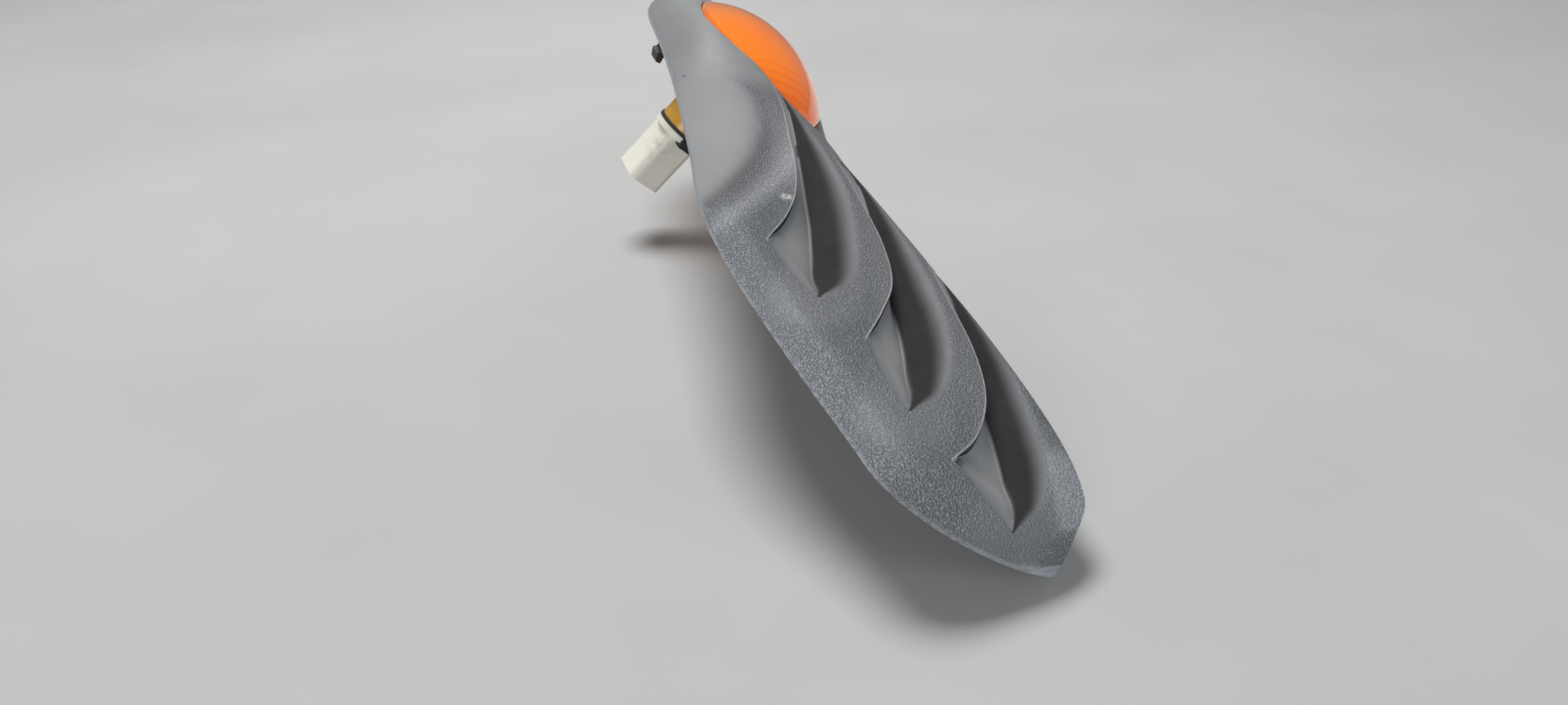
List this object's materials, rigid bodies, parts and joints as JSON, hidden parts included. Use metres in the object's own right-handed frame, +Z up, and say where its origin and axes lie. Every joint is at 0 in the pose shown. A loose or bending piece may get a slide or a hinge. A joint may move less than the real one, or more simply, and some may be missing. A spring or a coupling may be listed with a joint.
{
  "type": "side repeater lamp",
  "caption": "Side repeater lamp for a car's front wing: amber domed lens in a grained grey trim with moulded gills, with its slanted bulb holder, bulb and push clips behind.",
  "frame": {"origin": "the bulb's axis where it crosses the wing's skin, in the plane of the trim's rim", "axes": "+X along the wing with the lamp end forward, +Z up, -Y out of the wing, so +Y points into the wing"},
  "size_m": [0.2312, 0.0547, 0.0808],
  "materials": {
    "trim_plastic": "leather-grained, satin on the lamp panel",
    "lens_amber": "clear amber, glossy",
    "rubber_black": "matte",
    "reflector_silver": "metallised",
    "body_amber": "clear amber, glossy",
    "screw_steel": "zinc plated",
    "spring_black": "black",
    "hook_black": "satin",
    "clip_black": "satin",
    "foam_black": "open foam",
    "bulb_glass": "clear",
    "holder_cream": "satin",
    "contact_brass": "bright"
  },
  "bodies": {
    "root": {"gill_trim": "trim_plastic", "lens": "lens_amber", "lens_gasket": "rubber_black", "reflector": "reflector_silver", "lamp_body": "body_amber", "lamp_screws": "screw_steel", "lamp_spring": "spring_black", "edge_hooks": "hook_black", "push_clips": "clip_black", "rim_foam": "foam_black", "vent_cap": "rubber_black", "bulb": "bulb_glass", "bulb_holder": "holder_cream", "holder_ring": "rubber_black", "contact_front": "contact_brass", "contact_rear": "contact_brass"}
  },
  "joints": []
}
